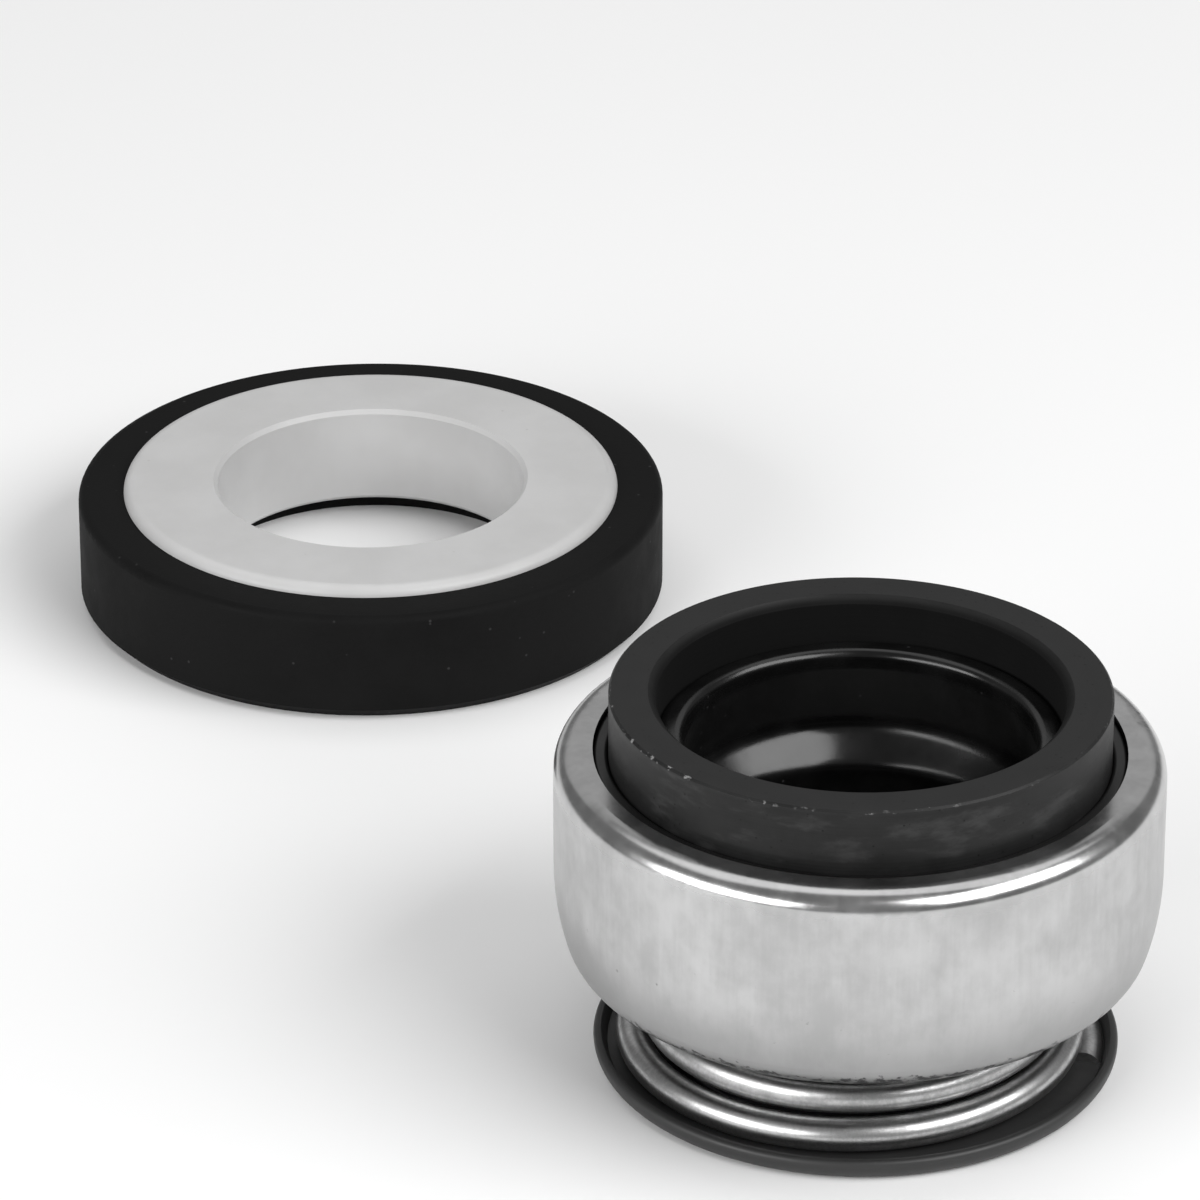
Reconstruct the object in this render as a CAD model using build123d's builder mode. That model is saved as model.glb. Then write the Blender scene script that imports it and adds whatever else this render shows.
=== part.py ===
"""Component mechanical seal for a 20 mm shaft: rotary unit and stationary seat.

Millimetres, +Z up. The origin lies on the rotary unit's axis at the underside of its tail
flange, where the shaft bore begins. The seat lies beside the unit, sealing face up.
"""

import os
from math import cos, pi, radians, sin

from build123d import *

# ---------------------------------------------------------------- driving dimensions
# Shaft and fits
shaft_radius = 10.0
rubber_gap = 0.05  # between the bellows and the head pieces that it carries

# Face ring (carbon)
face_ring_shaft_clearance = 3.0
face_ring_width = 3.0
face_ring_height = 8.6
face_ring_top_z = 26.05
face_ring_edge_chamfer = 0.15
face_ring_bore_chamfer = 0.5
face_ring_foot_radius = 0.5

# Casing (drawn sheet)
casing_wall = 0.7
casing_rim_gap = 1.0  # from the face ring to the rim's inner edge
casing_rim_width = 2.5
casing_rim_bend_radius = 1.5
casing_wall_height = 8.1  # from the rim's top face to where the crimp begins
casing_crimp_radius = 16.4
casing_crimp_angle = 16.6
casing_curl_radius = 2.6
casing_curl_end_angle = 80.0
face_ring_stand_proud = 4.1  # of the casing's rim

# Bellows (moulded rubber)
sleeve_wall = 1.4
sleeve_root_radius = 1.0
grip_length = 7.5
grip_lead = 0.7  # height of the slope from the grip to the wider bore above it
flex_bore_clearance = 0.3
shoulder_depth = 2.4  # height of the inner slope that widens the bore up to the face ring's foot
shoulder_edge_radius = 0.5
head_bore_clearance = 1.2
head_floor_thickness = 2.0
head_lip_height = 5.6
head_lip_bead = 1.3  # height of the lip's thick rim, above the relief that thins the lip
head_lip_root_wall = 0.75
head_lip_edge_radius = 0.6
head_skirt_drop = 0.3  # from the rim's top face to the skirt's lip
head_skirt_edge_radius = 0.25
flange_thickness = 1.5
flange_rim_width = 0.9
flange_rim_slope = 0.4  # width of the slope from the spring's seat up to the rim
flange_rim_edge_radius = 0.35
flange_foot_radius = 1.1
spring_seat_thickness = 0.7

# Spring (round wire, both ends ground flat)
wire_diameter = 2.2
coil_sleeve_clearance = 0.2
coil_taper = 2.0  # from the small coils' radius to the first coil's
free_end_flare = 0.25
free_end_flare_turns = 0.2
spring_turns = 4.5
closed_pitch = 2.0
foot_closed_turns = 1.4
head_closed_turns = 0.6
taper_start_turn = 0.1
taper_length_turns = 1.8
end_sink = 0.4  # how far the wire's centre starts beyond the ground face
free_end_angle = -12.0
points_per_turn = 12

# Spring collar (pressed sheet)
collar_wall = 0.7
collar_skirt_length = 2.4
collar_bend_radius = 1.0
collar_sleeve_clearance = 0.35
collar_coil_clearance = 0.5

# Seat ring (ceramic) and seat cup (rubber)
seat_x = -33.0
seat_y = 66.0
seat_shaft_clearance = 1.0
seat_ring_width = 6.75
seat_ring_height = 7.2
seat_ring_edge_radius = 0.8
seat_bore_chamfer = 0.3
seat_ring_proud = 0.7
seat_cup_wall = 3.25
seat_cup_floor = 1.5
seat_cup_bore_clearance = 3.0
seat_cup_edge_radius = 0.6
seat_cup_foot_chamfer = 0.8

# ---------------------------------------------------------------- worked-out sizes
face_ring_bore_radius = shaft_radius + face_ring_shaft_clearance
face_ring_outer_radius = face_ring_bore_radius + face_ring_width
face_ring_bottom_z = face_ring_top_z - face_ring_height

casing_top_z = face_ring_top_z - face_ring_stand_proud
casing_crimp_start_z = casing_top_z - casing_wall_height
casing_rim_inner_radius = face_ring_outer_radius + casing_rim_gap
casing_outer_radius = casing_rim_inner_radius + casing_rim_width
casing_inner_radius = casing_outer_radius - casing_wall

sleeve_radius = shaft_radius + sleeve_wall
flex_bore_radius = shaft_radius + flex_bore_clearance
shoulder_radius = face_ring_bore_radius - rubber_gap - head_lip_root_wall
shoulder_top_z = face_ring_bottom_z - rubber_gap
shoulder_bottom_z = shoulder_top_z - shoulder_depth
head_bore_radius = shaft_radius + head_bore_clearance
head_radius = casing_inner_radius - rubber_gap
head_shoulder_radius = casing_rim_bend_radius - casing_wall - rubber_gap
head_top_z = casing_top_z - casing_wall - rubber_gap
head_underside_z = face_ring_bottom_z - rubber_gap - head_floor_thickness

collar_top_z = head_underside_z - rubber_gap
wire_radius = wire_diameter / 2
spring_bottom_z = spring_seat_thickness
spring_top_z = collar_top_z - collar_wall
small_coil_radius = sleeve_radius + coil_sleeve_clearance + wire_radius
large_coil_radius = small_coil_radius + coil_taper
spring_seat_radius = large_coil_radius + free_end_flare + wire_radius
flange_radius = spring_seat_radius + flange_rim_width
collar_inner_radius = sleeve_radius + collar_sleeve_clearance
collar_outer_radius = small_coil_radius + wire_radius + collar_coil_clearance + collar_wall

seat_bore_radius = shaft_radius + seat_shaft_clearance
seat_ring_radius = seat_bore_radius + seat_ring_width
seat_cup_radius = seat_ring_radius + seat_cup_wall
seat_cup_bore_radius = shaft_radius + seat_cup_bore_clearance
seat_ring_bottom_z = seat_cup_floor
seat_top_z = seat_ring_bottom_z + seat_ring_height
seat_cup_top_z = seat_top_z - seat_ring_proud

seat_section_plane = Plane(origin=(seat_x, seat_y, 0), x_dir=(1, 0, 0), z_dir=(0, -1, 0))
seat_axis = Axis((seat_x, seat_y, 0), (0, 0, 1))


def corners(section, *points):
    """The vertices of a half-section that lie nearest to the given (radius, height) points."""
    return [section.vertices().sort_by_distance(Vector(*point))[0] for point in points]


def ease(x):
    """0 below 0, 1 above 1 and a smooth rise between."""
    x = min(max(x, 0.0), 1.0)
    return x * x * (3 - 2 * x)


# ---------------------------------------------------------------- face ring
with BuildPart() as face_ring:
    with BuildSketch(Plane.XZ) as section:
        with BuildLine():
            Polyline(
                (face_ring_bore_radius, face_ring_bottom_z),
                (face_ring_outer_radius, face_ring_bottom_z),
                (face_ring_outer_radius, face_ring_top_z),
                (face_ring_bore_radius, face_ring_top_z),
                close=True,
            )
        make_face()
        chamfer(corners(section, (face_ring_outer_radius, face_ring_top_z)), face_ring_edge_chamfer)
        chamfer(corners(section, (face_ring_bore_radius, face_ring_top_z)), face_ring_bore_chamfer)
        fillet(
            corners(
                section,
                (face_ring_bore_radius, face_ring_bottom_z),
                (face_ring_outer_radius, face_ring_bottom_z),
            ),
            face_ring_foot_radius,
        )
    revolve(axis=Axis.Z)

# ---------------------------------------------------------------- casing
# The sheet's outer face runs from the rim's inner edge over the bend, down the wall, through
# the long crimp and round the short curl. The sheet is that line given its thickness inwards.
crimp = radians(casing_crimp_angle)
crimp_centre = (casing_outer_radius - casing_crimp_radius, casing_crimp_start_z)
curl_centre = (
    crimp_centre[0] + (casing_crimp_radius - casing_curl_radius) * cos(crimp),
    crimp_centre[1] - (casing_crimp_radius - casing_curl_radius) * sin(crimp),
)

with BuildPart() as casing:
    with BuildSketch(Plane.XZ):
        with BuildLine():
            Line(
                (casing_rim_inner_radius, casing_top_z),
                (casing_outer_radius - casing_rim_bend_radius, casing_top_z),
            )
            CenterArc(
                (casing_outer_radius - casing_rim_bend_radius, casing_top_z - casing_rim_bend_radius),
                casing_rim_bend_radius,
                start_angle=0,
                arc_size=90,
            )
            Line(
                (casing_outer_radius, casing_top_z - casing_rim_bend_radius),
                (casing_outer_radius, casing_crimp_start_z),
            )
            CenterArc(
                crimp_centre,
                casing_crimp_radius,
                start_angle=-casing_crimp_angle,
                arc_size=casing_crimp_angle,
            )
            CenterArc(
                curl_centre,
                casing_curl_radius,
                start_angle=-casing_curl_end_angle,
                arc_size=casing_curl_end_angle - casing_crimp_angle,
            )
            offset(amount=casing_wall, side=Side.RIGHT)
        make_face()
    revolve(axis=Axis.Z)

# ---------------------------------------------------------------- bellows
pocket_inner_radius = face_ring_bore_radius - rubber_gap
pocket_outer_radius = face_ring_outer_radius + rubber_gap
pocket_bottom_z = face_ring_bottom_z - rubber_gap
skirt_radius = casing_rim_inner_radius - rubber_gap
skirt_top_z = casing_top_z - head_skirt_drop
head_lip_top_z = face_ring_bottom_z + head_lip_height

with BuildPart() as bellows:
    with BuildSketch(Plane.XZ) as section:
        with BuildLine():
            Polyline(
                (shaft_radius, 0),
                (flange_radius, 0),
                (flange_radius, flange_thickness),
                (spring_seat_radius + flange_rim_slope, flange_thickness),
                (spring_seat_radius, spring_bottom_z),
                (sleeve_radius, spring_bottom_z),
                (sleeve_radius, head_underside_z),
                (head_radius, head_underside_z),
                (head_radius, head_top_z),
                (skirt_radius, head_top_z),
                (skirt_radius, skirt_top_z),
                (pocket_outer_radius, skirt_top_z),
                (pocket_outer_radius, pocket_bottom_z),
                (pocket_inner_radius, pocket_bottom_z),
                (pocket_inner_radius, head_lip_top_z),
                (head_bore_radius, head_lip_top_z),
                (head_bore_radius, head_lip_top_z - head_lip_bead),
                (shoulder_radius, shoulder_top_z),
                (flex_bore_radius, shoulder_bottom_z),
                (flex_bore_radius, grip_length + grip_lead),
                (shaft_radius, grip_length),
                close=True,
            )
        make_face()
        fillet(corners(section, (flange_radius, 0)), flange_foot_radius)
        fillet(corners(section, (flange_radius, flange_thickness)), flange_rim_edge_radius)
        fillet(corners(section, (sleeve_radius, spring_bottom_z)), sleeve_root_radius)
        fillet(corners(section, (head_radius, head_top_z)), head_shoulder_radius)
        fillet(
            corners(section, (skirt_radius, skirt_top_z), (pocket_outer_radius, skirt_top_z)),
            head_skirt_edge_radius,
        )
        fillet(
            corners(section, (pocket_inner_radius, head_lip_top_z), (head_bore_radius, head_lip_top_z)),
            head_lip_edge_radius,
        )
        fillet(
            corners(
                section,
                (shoulder_radius, shoulder_top_z),
                (flex_bore_radius, shoulder_bottom_z),
                (flex_bore_radius, grip_length + grip_lead),
            ),
            shoulder_edge_radius,
        )
    revolve(axis=Axis.Z)


# ---------------------------------------------------------------- spring
def coil_radius(turn):
    """The wire's centreline radius: flared free end, large first turn, small upper turns."""
    flare = free_end_flare * (1 - ease(turn / free_end_flare_turns))
    taper = ease((turn - taper_start_turn) / taper_length_turns)
    return large_coil_radius + (small_coil_radius - large_coil_radius) * taper + flare


def coil_height(turn):
    """The wire's centreline height: closed turns at both ends, open turns between them."""
    start_z = spring_bottom_z - end_sink
    closed_rise = closed_pitch * spring_turns
    open_rise = spring_top_z - spring_bottom_z + 2 * end_sink - closed_rise
    open_turns = spring_turns - foot_closed_turns - head_closed_turns
    open_share = ease((turn - foot_closed_turns) / open_turns)
    return start_z + closed_pitch * turn + open_rise * open_share


def coil_point(turn):
    """A point of the wire's centreline, turning anticlockwise from above as it rises."""
    angle = radians(free_end_angle) + 2 * pi * turn
    return (coil_radius(turn) * cos(angle), coil_radius(turn) * sin(angle), coil_height(turn))


with BuildPart() as spring:
    with BuildLine() as wire_line:
        Spline([coil_point(i / points_per_turn) for i in range(int(spring_turns * points_per_turn) + 1)])
    with BuildSketch(Plane(origin=wire_line.line @ 0, z_dir=wire_line.line % 0)):
        Circle(wire_radius)
    sweep(path=wire_line.line, is_frenet=True)
    # Grinding takes off whatever stands below or above the two seating planes.
    with BuildSketch(Plane.XY.offset(spring_bottom_z)):
        Circle(2 * large_coil_radius)
    extrude(amount=spring_top_z - spring_bottom_z, mode=Mode.INTERSECT)

# ---------------------------------------------------------------- spring collar
with BuildPart() as spring_collar:
    with BuildSketch(Plane.XZ):
        with BuildLine():
            Line(
                (collar_inner_radius, collar_top_z),
                (collar_outer_radius - collar_bend_radius, collar_top_z),
            )
            CenterArc(
                (collar_outer_radius - collar_bend_radius, collar_top_z - collar_bend_radius),
                collar_bend_radius,
                start_angle=0,
                arc_size=90,
            )
            Line(
                (collar_outer_radius, collar_top_z - collar_bend_radius),
                (collar_outer_radius, collar_top_z - collar_skirt_length),
            )
            offset(amount=collar_wall, side=Side.RIGHT)
        make_face()
    revolve(axis=Axis.Z)

# ---------------------------------------------------------------- seat ring
with BuildPart() as seat_ring:
    with BuildSketch(seat_section_plane) as section:
        with BuildLine():
            Polyline(
                (seat_bore_radius, seat_ring_bottom_z),
                (seat_ring_radius, seat_ring_bottom_z),
                (seat_ring_radius, seat_top_z),
                (seat_bore_radius, seat_top_z),
                close=True,
            )
        make_face()
        fillet(corners(section, (seat_ring_radius, seat_top_z)), seat_ring_edge_radius)
        chamfer(
            corners(section, (seat_bore_radius, seat_top_z), (seat_bore_radius, seat_ring_bottom_z)),
            seat_bore_chamfer,
        )
    revolve(axis=seat_axis)

# ---------------------------------------------------------------- seat cup
with BuildPart() as seat_cup:
    with BuildSketch(seat_section_plane) as section:
        with BuildLine():
            Polyline(
                (seat_cup_bore_radius, 0),
                (seat_cup_radius, 0),
                (seat_cup_radius, seat_cup_top_z),
                (seat_ring_radius, seat_cup_top_z),
                (seat_ring_radius, seat_ring_bottom_z),
                (seat_cup_bore_radius, seat_ring_bottom_z),
                close=True,
            )
        make_face()
        fillet(corners(section, (seat_cup_radius, seat_cup_top_z)), seat_cup_edge_radius)
        chamfer(corners(section, (seat_cup_radius, 0)), seat_cup_foot_chamfer)
    revolve(axis=seat_axis)

# ---------------------------------------------------------------- export
os.makedirs("parts", exist_ok=True)

face_ring.part.label = "face_ring"
export_step(face_ring.part, "parts/face_ring.step")
casing.part.label = "casing"
export_step(casing.part, "parts/casing.step")
bellows.part.label = "bellows"
export_step(bellows.part, "parts/bellows.step")
spring.part.label = "spring"
export_step(spring.part, "parts/spring.step")
spring_collar.part.label = "spring_collar"
export_step(spring_collar.part, "parts/spring_collar.step")
seat_ring.part.label = "seat_ring"
export_step(seat_ring.part, "parts/seat_ring.step")
seat_cup.part.label = "seat_cup"
export_step(seat_cup.part, "parts/seat_cup.step")
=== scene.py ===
"""Looks of the component mechanical seal: rotary unit and stationary seat on a pale floor.

Metres in Blender, millimetres in the named sizes below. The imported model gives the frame: the
origin lies on the rotary unit's axis at the underside of its tail flange, +Z up.
"""

from math import cos, pi, radians, sin

import bpy
import numpy as np
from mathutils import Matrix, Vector


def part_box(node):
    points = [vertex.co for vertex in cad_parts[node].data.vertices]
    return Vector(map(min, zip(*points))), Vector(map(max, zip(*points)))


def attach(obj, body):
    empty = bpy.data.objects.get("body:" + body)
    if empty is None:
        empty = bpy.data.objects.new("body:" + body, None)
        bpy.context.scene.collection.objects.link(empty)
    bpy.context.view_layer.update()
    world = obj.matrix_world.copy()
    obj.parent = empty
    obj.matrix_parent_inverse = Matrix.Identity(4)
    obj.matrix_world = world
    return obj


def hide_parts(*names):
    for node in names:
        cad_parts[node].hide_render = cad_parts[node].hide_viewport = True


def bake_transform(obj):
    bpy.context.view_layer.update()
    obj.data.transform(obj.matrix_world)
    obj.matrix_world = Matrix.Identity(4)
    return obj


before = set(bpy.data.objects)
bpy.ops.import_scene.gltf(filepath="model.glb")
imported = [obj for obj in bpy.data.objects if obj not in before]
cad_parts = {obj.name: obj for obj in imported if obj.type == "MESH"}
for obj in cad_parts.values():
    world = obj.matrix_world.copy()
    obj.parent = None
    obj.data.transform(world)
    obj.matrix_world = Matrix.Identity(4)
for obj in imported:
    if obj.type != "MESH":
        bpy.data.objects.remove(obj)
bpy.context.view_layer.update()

# ---------------------------------------------------------------- sizes read from the frame
MM = 0.001


def size_of(node):
    """(outer radius, lowest z, highest z) of a round piece on the unit's own axis, in mm."""
    low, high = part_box(node)
    return high[0] / MM, low[2] / MM, high[2] / MM


face_ring_outer_radius, face_ring_bottom_z, face_ring_top_z = size_of("face_ring")
_, casing_bottom_z, casing_top_z = size_of("casing")
head_radius, _, head_lip_top_z = size_of("bellows")
_, spring_bottom_z, spring_top_z = size_of("spring")

# ---------------------------------------------------------------- sizes in mm
rubber_gap = 0.05  # between the bellows and the pieces that it carries

face_ring_bore_radius = 13.0
face_ring_edge_chamfer = 0.15
face_ring_bore_chamfer = 0.5
face_ring_foot_radius = 0.5

casing_wall = 0.7
casing_rim_inner_radius = 17.0

shaft_radius = 10.0
sleeve_radius = 11.4
sleeve_root_radius = 1.0
grip_length = 7.5
grip_lead = 0.7  # height of the slope from the grip to the wider bore above it
grip_lead_radius = 0.5
flex_bore_radius = 10.3
shoulder_depth = 2.4  # height of the inner slope below the face ring's foot
shoulder_radius = 12.2
shoulder_edge_radius = 1.8
head_bore_radius = 11.2
head_floor_thickness = 2.0
head_lip_bead = 1.3  # height of the lip's thick rim
head_lip_edge_radius = 0.6
head_shoulder_radius = 0.75
head_skirt_drop = 0.3
head_skirt_edge_radius = 0.25

wire_radius = 1.1
large_coil_radius = 14.7
small_coil_radius = 12.7
free_end_flare = 0.25  # how far the free end stands off the first coil
free_end_flare_turns = 0.2
spring_turns = 4.5
closed_pitch = 2.0
foot_closed_turns = 1.8
head_closed_turns = 0.6
taper_start_turn = 0.1
taper_length_turns = 1.8
end_sink = 0.4  # how far the wire's centre starts beyond the ground face
free_end_angle = -12.0  # degrees

flange_thickness = 1.5
flange_rim_width = 0.9
flange_rim_slope = 0.4
flange_rim_edge_radius = 0.35
flange_foot_radius = 1.1

pin_edge = 0.06  # smallest rounding of a moulded or pressed edge

# worked out from the sizes above
spring_seat_radius = large_coil_radius + free_end_flare + wire_radius
flange_radius = spring_seat_radius + flange_rim_width
pocket_bottom_z = face_ring_bottom_z - rubber_gap
head_lip_bead_z = head_lip_top_z - head_lip_bead

# ---------------------------------------------------------------- fineness of the meshes
ring_segments = 288
bellows_longest_side = 0.6
face_ring_longest_side = 0.5
wire_rings_per_turn = 96
wire_sides = 28
turn_nudge = 0.001  # step to either side of a turn that gives the wire's direction


# ---------------------------------------------------------------- mesh helpers
def rounded_outline(corners, arc_step=radians(9)):
    """A closed outline of (radius, z) points from corners of (radius, z, rounding radius)."""
    outline = []
    for i, (r, z, rounding) in enumerate(corners):
        here = np.array((r, z), float)
        before = np.array(corners[i - 1][:2], float)
        after = np.array(corners[(i + 1) % len(corners)][:2], float)
        back = (before - here) / np.linalg.norm(before - here)
        ahead = (after - here) / np.linalg.norm(after - here)
        opening = np.arccos(np.clip(back @ ahead, -1, 1))
        middle = (back + ahead) / np.linalg.norm(back + ahead)
        centre = here + middle * rounding / sin(opening / 2)
        start = here + back * rounding / np.tan(opening / 2) - centre
        end = here + ahead * rounding / np.tan(opening / 2) - centre
        sweep = pi - opening
        steps = max(2, int(sweep / arc_step))
        for k in range(steps + 1):
            share = k / steps
            mix = sin((1 - share) * sweep) * start + sin(share * sweep) * end
            outline.append(centre + mix / sin(sweep))
    return np.array(outline)


def subdivided(outline, longest):
    """The same closed outline with extra points wherever a side is longer than longest."""
    points = []
    for here, after in zip(outline, np.roll(outline, -1, axis=0)):
        count = max(1, int(np.ceil(np.linalg.norm(after - here) / longest)))
        points.extend(here + (after - here) * k / count for k in range(count))
    return np.array(points)


def outline_normals(outline):
    """Outward normals of an outline that runs anticlockwise, weighted by the sides' lengths."""
    ahead = np.roll(outline, -1, axis=0) - outline
    along = ahead + np.roll(ahead, 1, axis=0)
    normals = np.column_stack((along[:, 1], -along[:, 0]))
    return normals / np.linalg.norm(normals, axis=1)[:, None]


def mesh_object(name, vertices_mm, faces, normals):
    """A smooth-shaded mesh object in the scene, from vertices in mm and a normal for each."""
    mesh = bpy.data.meshes.new(name)
    mesh.from_pydata([tuple(v) for v in np.asarray(vertices_mm) * MM], [], faces)
    mesh.validate()
    mesh.shade_smooth()
    mesh.normals_split_custom_set_from_vertices([tuple(n) for n in normals])
    made = bpy.data.objects.new(name, mesh)
    bpy.context.collection.objects.link(made)
    return made


def grid_faces(rows, columns):
    """Quads of a grid that closes on itself both ways, with rows outermost."""
    faces = []
    for i in range(rows):
        row = i * columns
        next_row = (i + 1) % rows * columns
        for j in range(columns):
            next_j = (j + 1) % columns
            faces.append((row + j, next_row + j, next_row + next_j, row + next_j))
    return faces


def turned(pairs, angle):
    """Points or directions (radius, z), turned round the Z axis by an angle."""
    return np.column_stack((pairs[:, 0] * cos(angle), pairs[:, 0] * sin(angle), pairs[:, 1]))


def lathe(name, outline):
    """A closed outline of (radius, z) points turned round the Z axis."""
    slopes = outline_normals(outline)
    angles = [2 * pi * k / ring_segments for k in range(ring_segments)]
    vertices = np.concatenate([turned(outline, angle) for angle in angles])
    normals = np.concatenate([turned(slopes, angle) for angle in angles])
    return mesh_object(name, vertices, grid_faces(ring_segments, len(outline)), normals)


# ---------------------------------------------------------------- node helpers
def new_material(name):
    """(material, tree, shader), the shader being a plain Principled BSDF."""
    material = bpy.data.materials.new(name)
    material.use_nodes = True
    tree = material.node_tree
    return material, tree, tree.nodes["Principled BSDF"]


def add(tree, kind, settings=None, **inputs):
    """A new node. An input goes by its name, or by its place as _0, _1 and so on.

    Each one is a constant or another node's output socket.
    """
    made = tree.nodes.new(kind)
    for key, value in (settings or {}).items():
        setattr(made, key, value)
    for key, value in inputs.items():
        socket = made.inputs[int(key[1:])] if key[0] == "_" else made.inputs[key.replace("_", " ")]
        if isinstance(value, bpy.types.NodeSocket):
            tree.links.new(value, socket)
        else:
            socket.default_value = value
    return made


def math(tree, operation, first, second=0.0, third=0.0):
    """The output of one Math node."""
    made = add(tree, "ShaderNodeMath", {"operation": operation}, _0=first, _1=second, _2=third)
    return made.outputs[0]


def weighted(tree, *parts):
    """The sum of values, each given with its weight."""
    total = 0.0
    for value, weight in parts:
        total = math(tree, "MULTIPLY_ADD", value, weight, total)
    return total


def remap(tree, value, low, high, to_low, to_high):
    """value taken smoothly from low..high to to_low..to_high."""
    smooth = {"interpolation_type": "SMOOTHSTEP"}
    made = add(tree, "ShaderNodeMapRange", smooth, _0=value, _1=low, _2=high, _3=to_low, _4=to_high)
    return made.outputs[0]


def mix_colour(tree, share, first, second):
    """first where share is 0 and second where it is 1."""
    made = add(tree, "ShaderNodeMix", {"data_type": "RGBA"}, _0=share, _6=first, _7=second)
    return made.outputs[2]


def grey(value, warmth=0.0):
    """An opaque grey, a little warm or cool."""
    return (value * (1 + warmth), value, value * (1 - warmth), 1.0)


def new_group(name, inputs, outputs):
    """(group, input node, output node) with float sockets of the given names."""
    group = bpy.data.node_groups.new(name, "ShaderNodeTree")
    for label, value in inputs.items():
        socket = group.interface.new_socket(label, in_out="INPUT", socket_type="NodeSocketFloat")
        socket.default_value = value
    for label in outputs:
        group.interface.new_socket(label, in_out="OUTPUT", socket_type="NodeSocketFloat")
    return group, group.nodes.new("NodeGroupInput"), group.nodes.new("NodeGroupOutput")


def use_group(tree, group, **inputs):
    """Places a shared group in a material with its own values."""
    return add(tree, "ShaderNodeGroup", {"node_tree": group}, **inputs)


# ---------------------------------------------------------------- shared effects
def make_clouds():
    """Soft patches, 0 to 1. Stretch draws them out along Z."""
    settings = {"Scale": 200.0, "Stretch": 1.0, "Detail": 4.0}
    group, given, result = new_group("clouds", settings, ["Patches"])
    place = add(group, "ShaderNodeTexCoord").outputs["Object"]
    split = add(group, "ShaderNodeSeparateXYZ", _0=place)
    squeezed = math(group, "DIVIDE", split.outputs["Z"], given.outputs["Stretch"])
    x, y = split.outputs["X"], split.outputs["Y"]
    drawn = add(group, "ShaderNodeCombineXYZ", X=x, Y=y, Z=squeezed).outputs[0]
    noise = add(
        group,
        "ShaderNodeTexNoise",
        Vector=drawn,
        Scale=given.outputs["Scale"],
        Detail=given.outputs["Detail"],
        Roughness=0.6,
    )
    group.links.new(noise.outputs["Fac"], result.inputs["Patches"])
    return group


def make_specks():
    """A mask of sparse small specks: Rarity near 1 leaves fewer."""
    group, given, result = new_group("specks", {"Scale": 900.0, "Rarity": 0.8}, ["Mask"])
    place = add(group, "ShaderNodeTexCoord").outputs["Object"]
    scale = given.outputs["Scale"]
    cells = add(group, "ShaderNodeTexVoronoi", {"feature": "F1"}, Vector=place, Scale=scale)
    chance = add(group, "ShaderNodeSeparateColor", _0=cells.outputs["Color"]).outputs[0]
    chosen = math(group, "GREATER_THAN", chance, given.outputs["Rarity"])
    spot = remap(group, cells.outputs["Distance"], 0.12, 0.32, 1.0, 0.0)
    group.links.new(math(group, "MULTIPLY", chosen, spot), result.inputs["Mask"])
    return group


def radius_and_height(group):
    """Two outputs: a point's distance from the Z axis and its height, in metres."""
    place = add(group, "ShaderNodeTexCoord").outputs["Object"]
    split = add(group, "ShaderNodeSeparateXYZ", _0=place)
    x, y = split.outputs["X"], split.outputs["Y"]
    square = math(group, "ADD", math(group, "MULTIPLY", x, x), math(group, "MULTIPLY", y, y))
    return math(group, "SQRT", square), split.outputs["Z"]


def make_place():
    """Where a point of the piece lies, in mm: its distance from the Z axis and its height."""
    group, _, result = new_group("place", {}, ["Radius", "Height"])
    radius, height = radius_and_height(group)
    group.links.new(math(group, "MULTIPLY", radius, 1 / MM), result.inputs["Radius"])
    group.links.new(math(group, "MULTIPLY", height, 1 / MM), result.inputs["Height"])
    return group


def make_turning_marks():
    """Fine rings round the Z axis of the piece, as a height from 0 to 1."""
    group, given, result = new_group("turning marks", {"Scale": 4000.0}, ["Height"])
    radius, height = radius_and_height(group)
    ring = add(group, "ShaderNodeCombineXYZ", X=radius, Y=height).outputs[0]
    scale = given.outputs["Scale"]
    noise = add(group, "ShaderNodeTexNoise", Vector=ring, Scale=scale, Detail=2.0)
    group.links.new(noise.outputs["Fac"], result.inputs["Height"])
    return group


clouds = make_clouds()
specks = make_specks()
turning_marks = make_turning_marks()
place_in_mm = make_place()


def add_bump(tree, shader, height, strength, distance_mm):
    """Puts a bump under the shader."""
    bump = add(tree, "ShaderNodeBump", Strength=strength, Distance=distance_mm * MM, Height=height)
    tree.links.new(bump.outputs["Normal"], shader.inputs["Normal"])


# ---------------------------------------------------------------- zones of the materials, in mm
# Each pair says where an effect fades in or out, along a height or a radius.
bend_zone = (casing_top_z - 2.4, casing_top_z - 1.0)  # from the satin wall to the bright bend
crimp_shade_zone = (casing_bottom_z + 0.3, casing_bottom_z + 7.5)  # painted shade, darker towards the crimped edge
nicked_zone = (casing_bottom_z + 0.7, casing_bottom_z + 1.9)  # worn at the crimped edge
pale_low_zone = (flange_thickness - 0.3, flange_thickness + 0.9)  # paler grey on the flange and the foot of the sleeve
shiny_radii = (shoulder_radius + 0.1, shoulder_radius + 0.6)  # the bellows' inside
shiny_heights = (pocket_bottom_z, pocket_bottom_z + 1.0)
lip_zone = (head_lip_bead_z - 0.3, head_lip_bead_z + 0.3)
rubbed_zone = (face_ring_top_z - 0.4, face_ring_top_z - 0.1)  # the carbon's side, not its face
chipped_radii = (face_ring_outer_radius - 0.22, face_ring_outer_radius - 0.12)
chipped_heights = (face_ring_top_z - 0.25, face_ring_top_z - 0.15)
carbon_bore_radii = (face_ring_bore_radius + 0.05, face_ring_bore_radius + 0.6)


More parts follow.
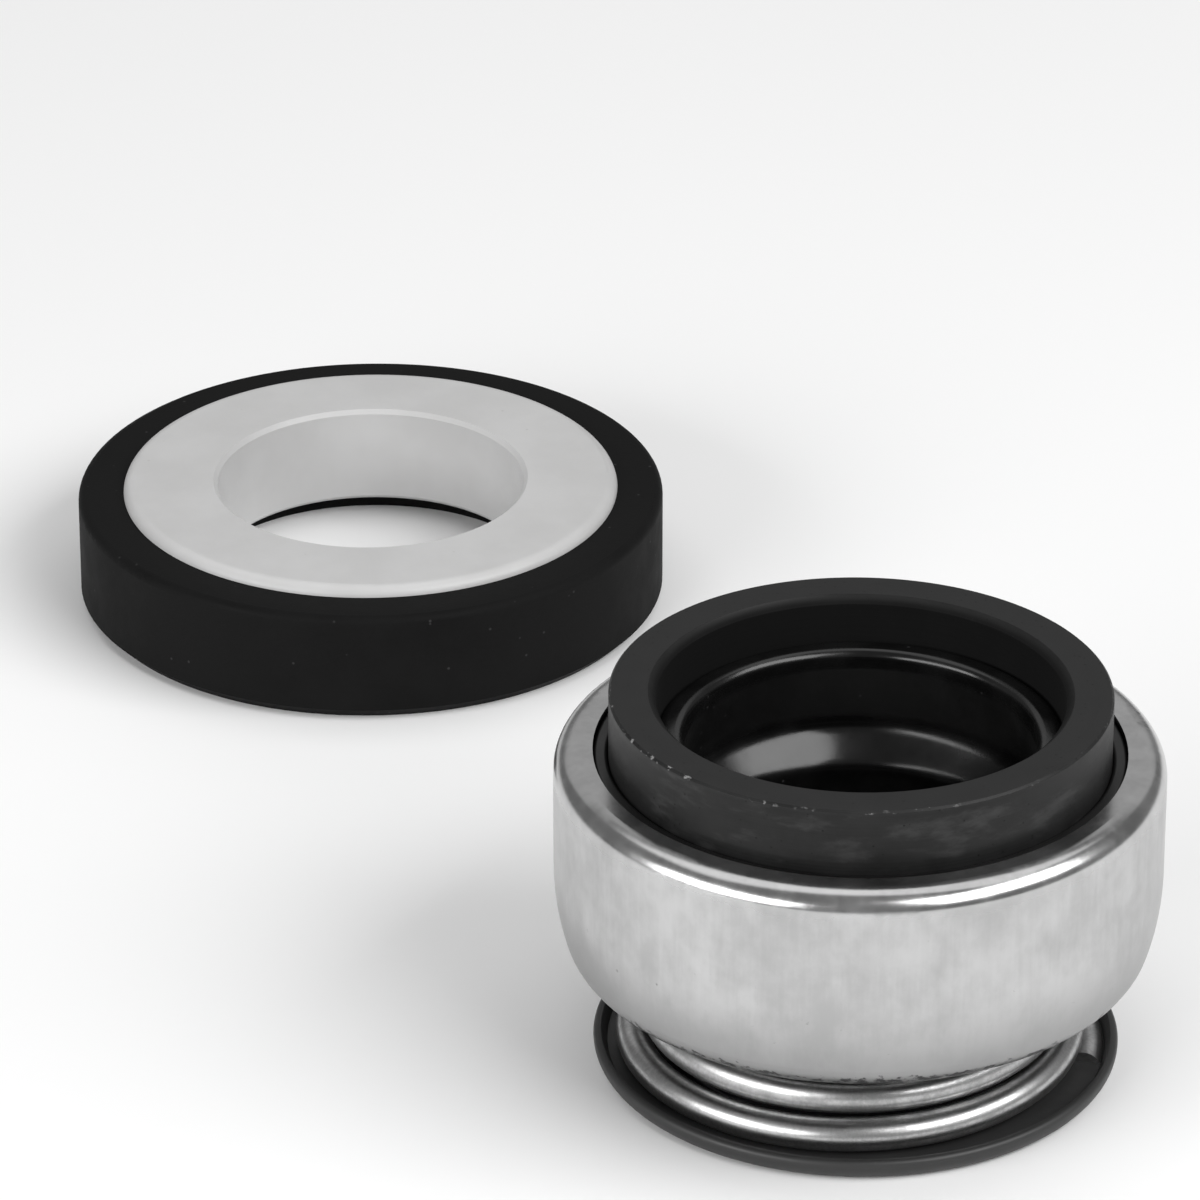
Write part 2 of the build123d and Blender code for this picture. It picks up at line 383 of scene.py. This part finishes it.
# ---------------------------------------------------------------- materials
def make_casing_steel():
    """Drawn stainless sheet: bright bend, satin mottled wall, painted shade darkening it towards the
    crimped edge.
    """
    material, tree, shader = new_material("drawn stainless sheet")
    shader.inputs["Metallic"].default_value = 1.0
    height = use_group(tree, place_in_mm).outputs["Height"]
    broad = use_group(tree, clouds, Scale=130.0, Stretch=0.8, Detail=3.0).outputs[0]
    patches = use_group(tree, clouds, Scale=520.0, Stretch=1.3, Detail=7.0).outputs[0]
    draw_marks = use_group(tree, clouds, Scale=2200.0, Stretch=14.0, Detail=4.0).outputs[0]
    tone = weighted(tree, (broad, 0.45), (patches, 0.4), (draw_marks, 0.15))
    colour = mix_colour(tree, remap(tree, tone, 0.36, 0.64, 0.0, 1.0), grey(0.46), grey(0.60))
    # Painted shade: the wall's grey darkens towards the crimped edge.
    crimp_shade = remap(tree, height, *crimp_shade_zone, 0.8, 0.0)
    colour = mix_colour(tree, crimp_shade, colour, grey(0.30))
    nicks = use_group(tree, clouds, Scale=1700.0, Stretch=0.8, Detail=6.0).outputs[0]
    near_edge = remap(tree, height, *nicked_zone, 0.20, 0.0)
    worn = math(tree, "ADD", weighted(tree, (patches, 0.35), (nicks, 0.65)), near_edge)
    colour = mix_colour(tree, remap(tree, worn, 0.64, 0.74, 0.0, 1.0), colour, grey(0.07))
    dirt = use_group(tree, specks, Scale=1500.0, Rarity=0.994).outputs[0]
    tree.links.new(mix_colour(tree, dirt, colour, grey(0.2)), shader.inputs["Base Color"])
    satin = remap(tree, height, *bend_zone, 0.36, 0.22)
    spread = remap(tree, tone, 0.36, 0.64, -0.04, 0.05)
    tree.links.new(math(tree, "ADD", satin, spread), shader.inputs["Roughness"])
    add_bump(tree, shader, tone, strength=0.3, distance_mm=0.03)
    return material


def make_spring_steel():
    """Drawn wire with a soft satin lustre and slight stains."""
    material, tree, shader = new_material("satin spring wire")
    shader.inputs["Metallic"].default_value = 1.0
    patches = use_group(tree, clouds, Scale=600.0, Stretch=1.0, Detail=6.0).outputs[0]
    grain = use_group(tree, clouds, Scale=4200.0, Stretch=1.0, Detail=3.0).outputs[0]
    tone = weighted(tree, (patches, 0.7), (grain, 0.3))
    colour = mix_colour(tree, remap(tree, tone, 0.38, 0.62, 0.0, 1.0), grey(0.40), grey(0.58))
    tree.links.new(colour, shader.inputs["Base Color"])
    tree.links.new(remap(tree, tone, 0.38, 0.62, 0.38, 0.28), shader.inputs["Roughness"])
    add_bump(tree, shader, tone, strength=0.15, distance_mm=0.02)
    return material


def make_rubber():
    """Moulded black rubber: shiny on the lip and below it, a paler grey on the tail flange."""
    material, tree, shader = new_material("moulded black rubber")
    place = use_group(tree, place_in_mm)
    radius, height = place.outputs["Radius"], place.outputs["Height"]
    patches = use_group(tree, clouds, Scale=260.0, Stretch=1.0, Detail=5.0).outputs[0]
    grain = use_group(tree, clouds, Scale=5000.0, Stretch=1.0, Detail=2.0).outputs[0]
    dust = use_group(tree, specks, Scale=2600.0, Rarity=0.985).outputs[0]
    colour = mix_colour(tree, remap(tree, patches, 0.3, 0.7, 0.0, 1.0), grey(0.003), grey(0.006))
    # A paler grey low down, on the tail flange and the foot of the sleeve.
    pale_low = remap(tree, height, *pale_low_zone, 0.8, 0.0)
    colour = mix_colour(tree, pale_low, colour, grey(0.030))
    tree.links.new(mix_colour(tree, dust, colour, grey(0.03)), shader.inputs["Base Color"])
    within = remap(tree, radius, *shiny_radii, 1.0, 0.0)
    low = remap(tree, height, *shiny_heights, 1.0, 0.0)
    inside = math(tree, "MULTIPLY", within, low)
    lip = remap(tree, height, *lip_zone, 0.0, 1.0)
    matt = remap(tree, patches, 0.3, 0.7, 0.42, 0.52)
    roughness = weighted(tree, (matt, 1.0), (lip, -0.24), (inside, -0.24))
    tree.links.new(roughness, shader.inputs["Roughness"])
    add_bump(tree, shader, grain, strength=0.12, distance_mm=0.02)
    return material


def make_seat_rubber():
    """The same rubber on the seat's cup, duller and with a little dust."""
    material, tree, shader = new_material("matt cup rubber")
    patches = use_group(tree, clouds, Scale=180.0, Stretch=1.0, Detail=6.0).outputs[0]
    grain = use_group(tree, clouds, Scale=4000.0, Stretch=1.0, Detail=3.0).outputs[0]
    dust = use_group(tree, specks, Scale=2400.0, Rarity=0.985).outputs[0]
    colour = mix_colour(tree, remap(tree, patches, 0.3, 0.7, 0.0, 1.0), grey(0.003), grey(0.006))
    tree.links.new(mix_colour(tree, dust, colour, grey(0.03)), shader.inputs["Base Color"])
    tree.links.new(remap(tree, patches, 0.3, 0.7, 0.62, 0.78), shader.inputs["Roughness"])
    shader.inputs["Specular IOR Level"].default_value = 0.12
    add_bump(tree, shader, grain, strength=0.3, distance_mm=0.03)
    return material


def make_carbon():
    """Resin-filled carbon: lapped face, turned side with pale rubs, dead black bore."""
    material, tree, shader = new_material("turned carbon")
    place = use_group(tree, place_in_mm)
    radius, height = place.outputs["Radius"], place.outputs["Height"]
    patches = use_group(tree, clouds, Scale=420.0, Stretch=1.0, Detail=6.0).outputs[0]
    rubs = use_group(tree, clouds, Scale=240.0, Stretch=0.35, Detail=8.0).outputs[0]
    pores = use_group(tree, specks, Scale=3200.0, Rarity=0.9).outputs[0]
    marks = use_group(tree, turning_marks, Scale=5200.0).outputs[0]
    tone = weighted(tree, (patches, 0.6), (marks, 0.4))
    colour = mix_colour(tree, remap(tree, tone, 0.3, 0.7, 0.0, 1.0), grey(0.010), grey(0.017))
    side = remap(tree, height, *rubbed_zone, 1.0, 0.0)
    rubbed = math(tree, "MULTIPLY", side, remap(tree, rubs, 0.5, 0.72, 0.0, 1.0))
    colour = mix_colour(tree, rubbed, colour, grey(0.035))
    outermost = remap(tree, radius, *chipped_radii, 0.0, 1.0)
    uppermost = remap(tree, height, *chipped_heights, 0.0, 1.0)
    nicks = use_group(tree, clouds, Scale=1900.0, Stretch=1.0, Detail=6.0).outputs[0]
    chips = math(tree, "MULTIPLY", outermost, uppermost)
    chips = math(tree, "MULTIPLY", chips, remap(tree, nicks, 0.55, 0.62, 0.0, 1.0))
    chips = math(tree, "MULTIPLY", chips, remap(tree, rubs, 0.45, 0.6, 0.0, 1.0))
    colour = mix_colour(tree, chips, colour, grey(0.22))
    bore = remap(tree, radius, *carbon_bore_radii, 1.0, 0.0)
    colour = mix_colour(tree, bore, colour, grey(0.002))
    tree.links.new(mix_colour(tree, pores, colour, grey(0.004)), shader.inputs["Base Color"])
    lustre = remap(tree, tone, 0.3, 0.7, 0.40, 0.52)
    tree.links.new(math(tree, "MULTIPLY_ADD", bore, 0.4, lustre), shader.inputs["Roughness"])
    shader.inputs["Specular IOR Level"].default_value = 0.22
    add_bump(tree, shader, marks, strength=0.12, distance_mm=0.01)
    return material


def make_ceramic():
    """Dense white alumina, lapped on the face."""
    material, tree, shader = new_material("white alumina")
    patches = use_group(tree, clouds, Scale=150.0, Stretch=1.0, Detail=3.0).outputs[0]
    grain = use_group(tree, clouds, Scale=3500.0, Stretch=1.0, Detail=3.0).outputs[0]
    fleck = use_group(tree, specks, Scale=2200.0, Rarity=0.995).outputs[0]
    pale = remap(tree, patches, 0.3, 0.7, 0.0, 1.0)
    colour = mix_colour(tree, pale, grey(0.50, 0.004), grey(0.54, 0.002))
    tree.links.new(mix_colour(tree, fleck, colour, grey(0.45, 0.01)), shader.inputs["Base Color"])
    tree.links.new(remap(tree, grain, 0.3, 0.7, 0.36, 0.46), shader.inputs["Roughness"])
    add_bump(tree, shader, grain, strength=0.05, distance_mm=0.01)
    return material


casing_steel = make_casing_steel()
spring_steel = make_spring_steel()
rubber = make_rubber()
seat_rubber = make_seat_rubber()
carbon = make_carbon()
ceramic = make_ceramic()


def finish_in(piece, material):
    """The piece wears this material alone."""
    piece.data.materials.clear()
    piece.data.materials.append(material)


# ---------------------------------------------------------------- bellows
def make_bellows():
    """Tail flange, sleeve and head in one moulding, turned from one outline."""
    pocket_inner_radius = face_ring_bore_radius - rubber_gap
    pocket_outer_radius = face_ring_outer_radius + rubber_gap
    head_underside_z = pocket_bottom_z - head_floor_thickness
    head_top_z = casing_top_z - casing_wall - rubber_gap
    skirt_radius = casing_rim_inner_radius - rubber_gap
    skirt_top_z = casing_top_z - head_skirt_drop
    outline = rounded_outline(
        [
            (shaft_radius, 0, pin_edge),
            (flange_radius, 0, flange_foot_radius),
            (flange_radius, flange_thickness, flange_rim_edge_radius),
            (spring_seat_radius + flange_rim_slope, flange_thickness, pin_edge),
            (spring_seat_radius, spring_bottom_z, pin_edge),
            (sleeve_radius, spring_bottom_z, sleeve_root_radius),
            (sleeve_radius, head_underside_z, pin_edge),
            (head_radius, head_underside_z, pin_edge),
            (head_radius, head_top_z, head_shoulder_radius),
            (skirt_radius, head_top_z, pin_edge),
            (skirt_radius, skirt_top_z, head_skirt_edge_radius),
            (pocket_outer_radius, skirt_top_z, head_skirt_edge_radius),
            (pocket_outer_radius, pocket_bottom_z, pin_edge),
            (pocket_inner_radius, pocket_bottom_z, pin_edge),
            (pocket_inner_radius, head_lip_top_z, head_lip_edge_radius),
            (head_bore_radius, head_lip_top_z, head_lip_edge_radius),
            (head_bore_radius, head_lip_bead_z, pin_edge),
            (shoulder_radius, pocket_bottom_z, shoulder_edge_radius),
            (flex_bore_radius, pocket_bottom_z - shoulder_depth, shoulder_edge_radius),
            (flex_bore_radius, grip_length + grip_lead, grip_lead_radius),
            (shaft_radius, grip_length, pin_edge),
        ]
    )
    piece = lathe("bellows_moulding", subdivided(outline, bellows_longest_side))
    finish_in(piece, rubber)
    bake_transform(piece)
    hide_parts("bellows")


# ---------------------------------------------------------------- spring
def ease(x):
    """0 below 0, 1 above 1 and a smooth rise between."""
    x = min(max(x, 0.0), 1.0)
    return x * x * (3 - 2 * x)


def coil_point(turn):
    """A point of the wire's centreline, turning anticlockwise from above as it rises."""
    flare = free_end_flare * (1 - ease(turn / free_end_flare_turns))
    taper = ease((turn - taper_start_turn) / taper_length_turns)
    radius = large_coil_radius + (small_coil_radius - large_coil_radius) * taper + flare
    open_rise = spring_top_z - spring_bottom_z + 2 * end_sink - closed_pitch * spring_turns
    open_turns = spring_turns - foot_closed_turns - head_closed_turns
    open_share = ease((turn - foot_closed_turns) / open_turns)
    height = spring_bottom_z - end_sink + closed_pitch * turn + open_rise * open_share
    angle = radians(free_end_angle) + 2 * pi * turn
    return np.array((radius * cos(angle), radius * sin(angle), height))


def coil_direction(turn):
    """The direction in which the wire runs, of length 1."""
    along = coil_point(turn + turn_nudge) - coil_point(turn - turn_nudge)
    return along / np.linalg.norm(along)


def wire_ring(turn):
    """(points, normals) round the wire, flat where the ends are ground."""
    centre = coil_point(turn)
    along = coil_direction(turn)
    out = np.array((centre[0], centre[1], 0.0))
    out -= along * (out @ along)
    out /= np.linalg.norm(out)
    up = np.cross(along, out)
    points = []
    normals = []
    for j in range(wire_sides):
        angle = 2 * pi * j / wire_sides
        normal = out * cos(angle) + up * sin(angle)
        point = centre + wire_radius * normal
        if point[2] < spring_bottom_z:
            point[2] = spring_bottom_z
            normal = np.array((0.0, 0.0, -1.0))
        if point[2] > spring_top_z:
            point[2] = spring_top_z
            normal = np.array((0.0, 0.0, 1.0))
        points.append(point)
        normals.append(normal)
    return points, normals


def make_spring():
    """The wire, swept along the coil and closed by a flat cap at each end."""
    steps = int(spring_turns * wire_rings_per_turn)
    vertices = []
    normals = []
    for k in range(steps + 1):
        ring_points, ring_normals = wire_ring(spring_turns * k / steps)
        vertices.extend(ring_points)
        normals.extend(ring_normals)
    faces = []
    for low in range(0, steps * wire_sides, wire_sides):
        high = low + wire_sides
        for j in range(wire_sides):
            next_j = (j + 1) % wire_sides
            faces.append((low + j, low + next_j, high + next_j, high + j))
    for turn, outward in ((0.0, -1), (spring_turns, 1)):
        first = len(vertices)
        vertices.extend(wire_ring(turn)[0])
        normals.extend([outward * coil_direction(turn)] * wire_sides)
        faces.append(tuple(range(first, first + wire_sides))[::outward])
    piece = mesh_object("spring_wire", vertices, faces, normals)
    finish_in(piece, spring_steel)
    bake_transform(piece)
    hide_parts("spring")


# ---------------------------------------------------------------- face ring
def make_face_ring():
    """The carbon ring with crisp edges."""
    outline = rounded_outline(
        [
            (face_ring_bore_radius, face_ring_bottom_z, face_ring_foot_radius),
            (face_ring_outer_radius, face_ring_bottom_z, face_ring_foot_radius),
            (face_ring_outer_radius, face_ring_top_z - face_ring_edge_chamfer, pin_edge),
            (face_ring_outer_radius - face_ring_edge_chamfer, face_ring_top_z, pin_edge),
            (face_ring_bore_radius + face_ring_bore_chamfer, face_ring_top_z, pin_edge),
            (face_ring_bore_radius, face_ring_top_z - face_ring_bore_chamfer, pin_edge),
        ]
    )
    piece = lathe("carbon_face_ring", subdivided(outline, face_ring_longest_side))
    finish_in(piece, carbon)
    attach(piece, "head")
    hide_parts("face_ring")


# ---------------------------------------------------------------- stage
def make_floor():
    """A pale plain floor."""
    half = 3.0
    corners = [(-half, -half, 0), (half, -half, 0), (half, half, 0), (-half, half, 0)]
    mesh = bpy.data.meshes.new("floor")
    mesh.from_pydata(corners, [], [(0, 1, 2, 3)])
    floor = bpy.data.objects.new("floor", mesh)
    bpy.context.collection.objects.link(floor)
    material, _, shader = new_material("pale floor")
    shader.inputs["Base Color"].default_value = grey(0.92)
    shader.inputs["Roughness"].default_value = 0.9
    shader.inputs["Specular IOR Level"].default_value = 0.0
    finish_in(floor, material)


def make_camera():
    """The camera looks down at the two parts from the front, from half a metre off."""
    target = Vector((-0.016518, 0.013266, 0.025708))
    elevation = radians(27.06)
    distance = 0.5
    camera = bpy.data.cameras.new("camera")
    camera.lens = 231.57
    camera.sensor_width = 36.0
    holder = bpy.data.objects.new("camera", camera)
    holder.location = target + Vector((0, -cos(elevation), sin(elevation))) * distance
    holder.rotation_euler = (pi / 2 - elevation, 0, 0)
    bpy.context.collection.objects.link(holder)
    bpy.context.scene.camera = holder


def add_softbox(name, azimuth, elevation, distance, size, power):
    """A soft area light that faces the unit. Azimuth 0 lies behind the camera, 90 to its right."""
    light = bpy.data.lights.new(name, "AREA")
    light.shape = "RECTANGLE"
    light.size, light.size_y = size
    light.energy = power
    holder = bpy.data.objects.new(name, light)
    middle_of_unit = Vector((0, 0, 0.012))
    a, e = radians(azimuth), radians(elevation)
    direction = Vector((sin(a) * cos(e), -cos(a) * cos(e), sin(e)))
    holder.location = middle_of_unit + direction * distance
    holder.rotation_euler = direction.to_track_quat("Z", "Y").to_euler()
    bpy.context.collection.objects.link(holder)


def make_light():
    """A pale even room, a softbox to each side of the camera, one overhead and one behind."""
    world = bpy.data.worlds.new("pale room")
    world.use_nodes = True
    background = world.node_tree.nodes["Background"]
    background.inputs["Color"].default_value = grey(1.0)
    background.inputs["Strength"].default_value = 0.2
    bpy.context.scene.world = world
    add_softbox("left softbox", azimuth=-52, elevation=20, distance=0.7, size=(0.66, 0.28), power=3.4)
    add_softbox("right softbox", azimuth=58, elevation=42, distance=0.7, size=(0.7, 0.4), power=4.4)
    add_softbox("top softbox", azimuth=180, elevation=75, distance=0.9, size=(1.2, 0.6), power=2.2)
    add_softbox("back softbox", azimuth=180, elevation=30, distance=0.9, size=(1.2, 0.4), power=0.5)
    bpy.context.scene.view_settings.view_transform = "Standard"


# ---------------------------------------------------------------- the scene
make_bellows()
make_spring()
make_face_ring()
finish_in(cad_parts["casing"], casing_steel)
finish_in(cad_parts["spring_collar"], casing_steel)
finish_in(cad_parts["seat_ring"], ceramic)
finish_in(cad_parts["seat_cup"], seat_rubber)
make_floor()
make_camera()
make_light()
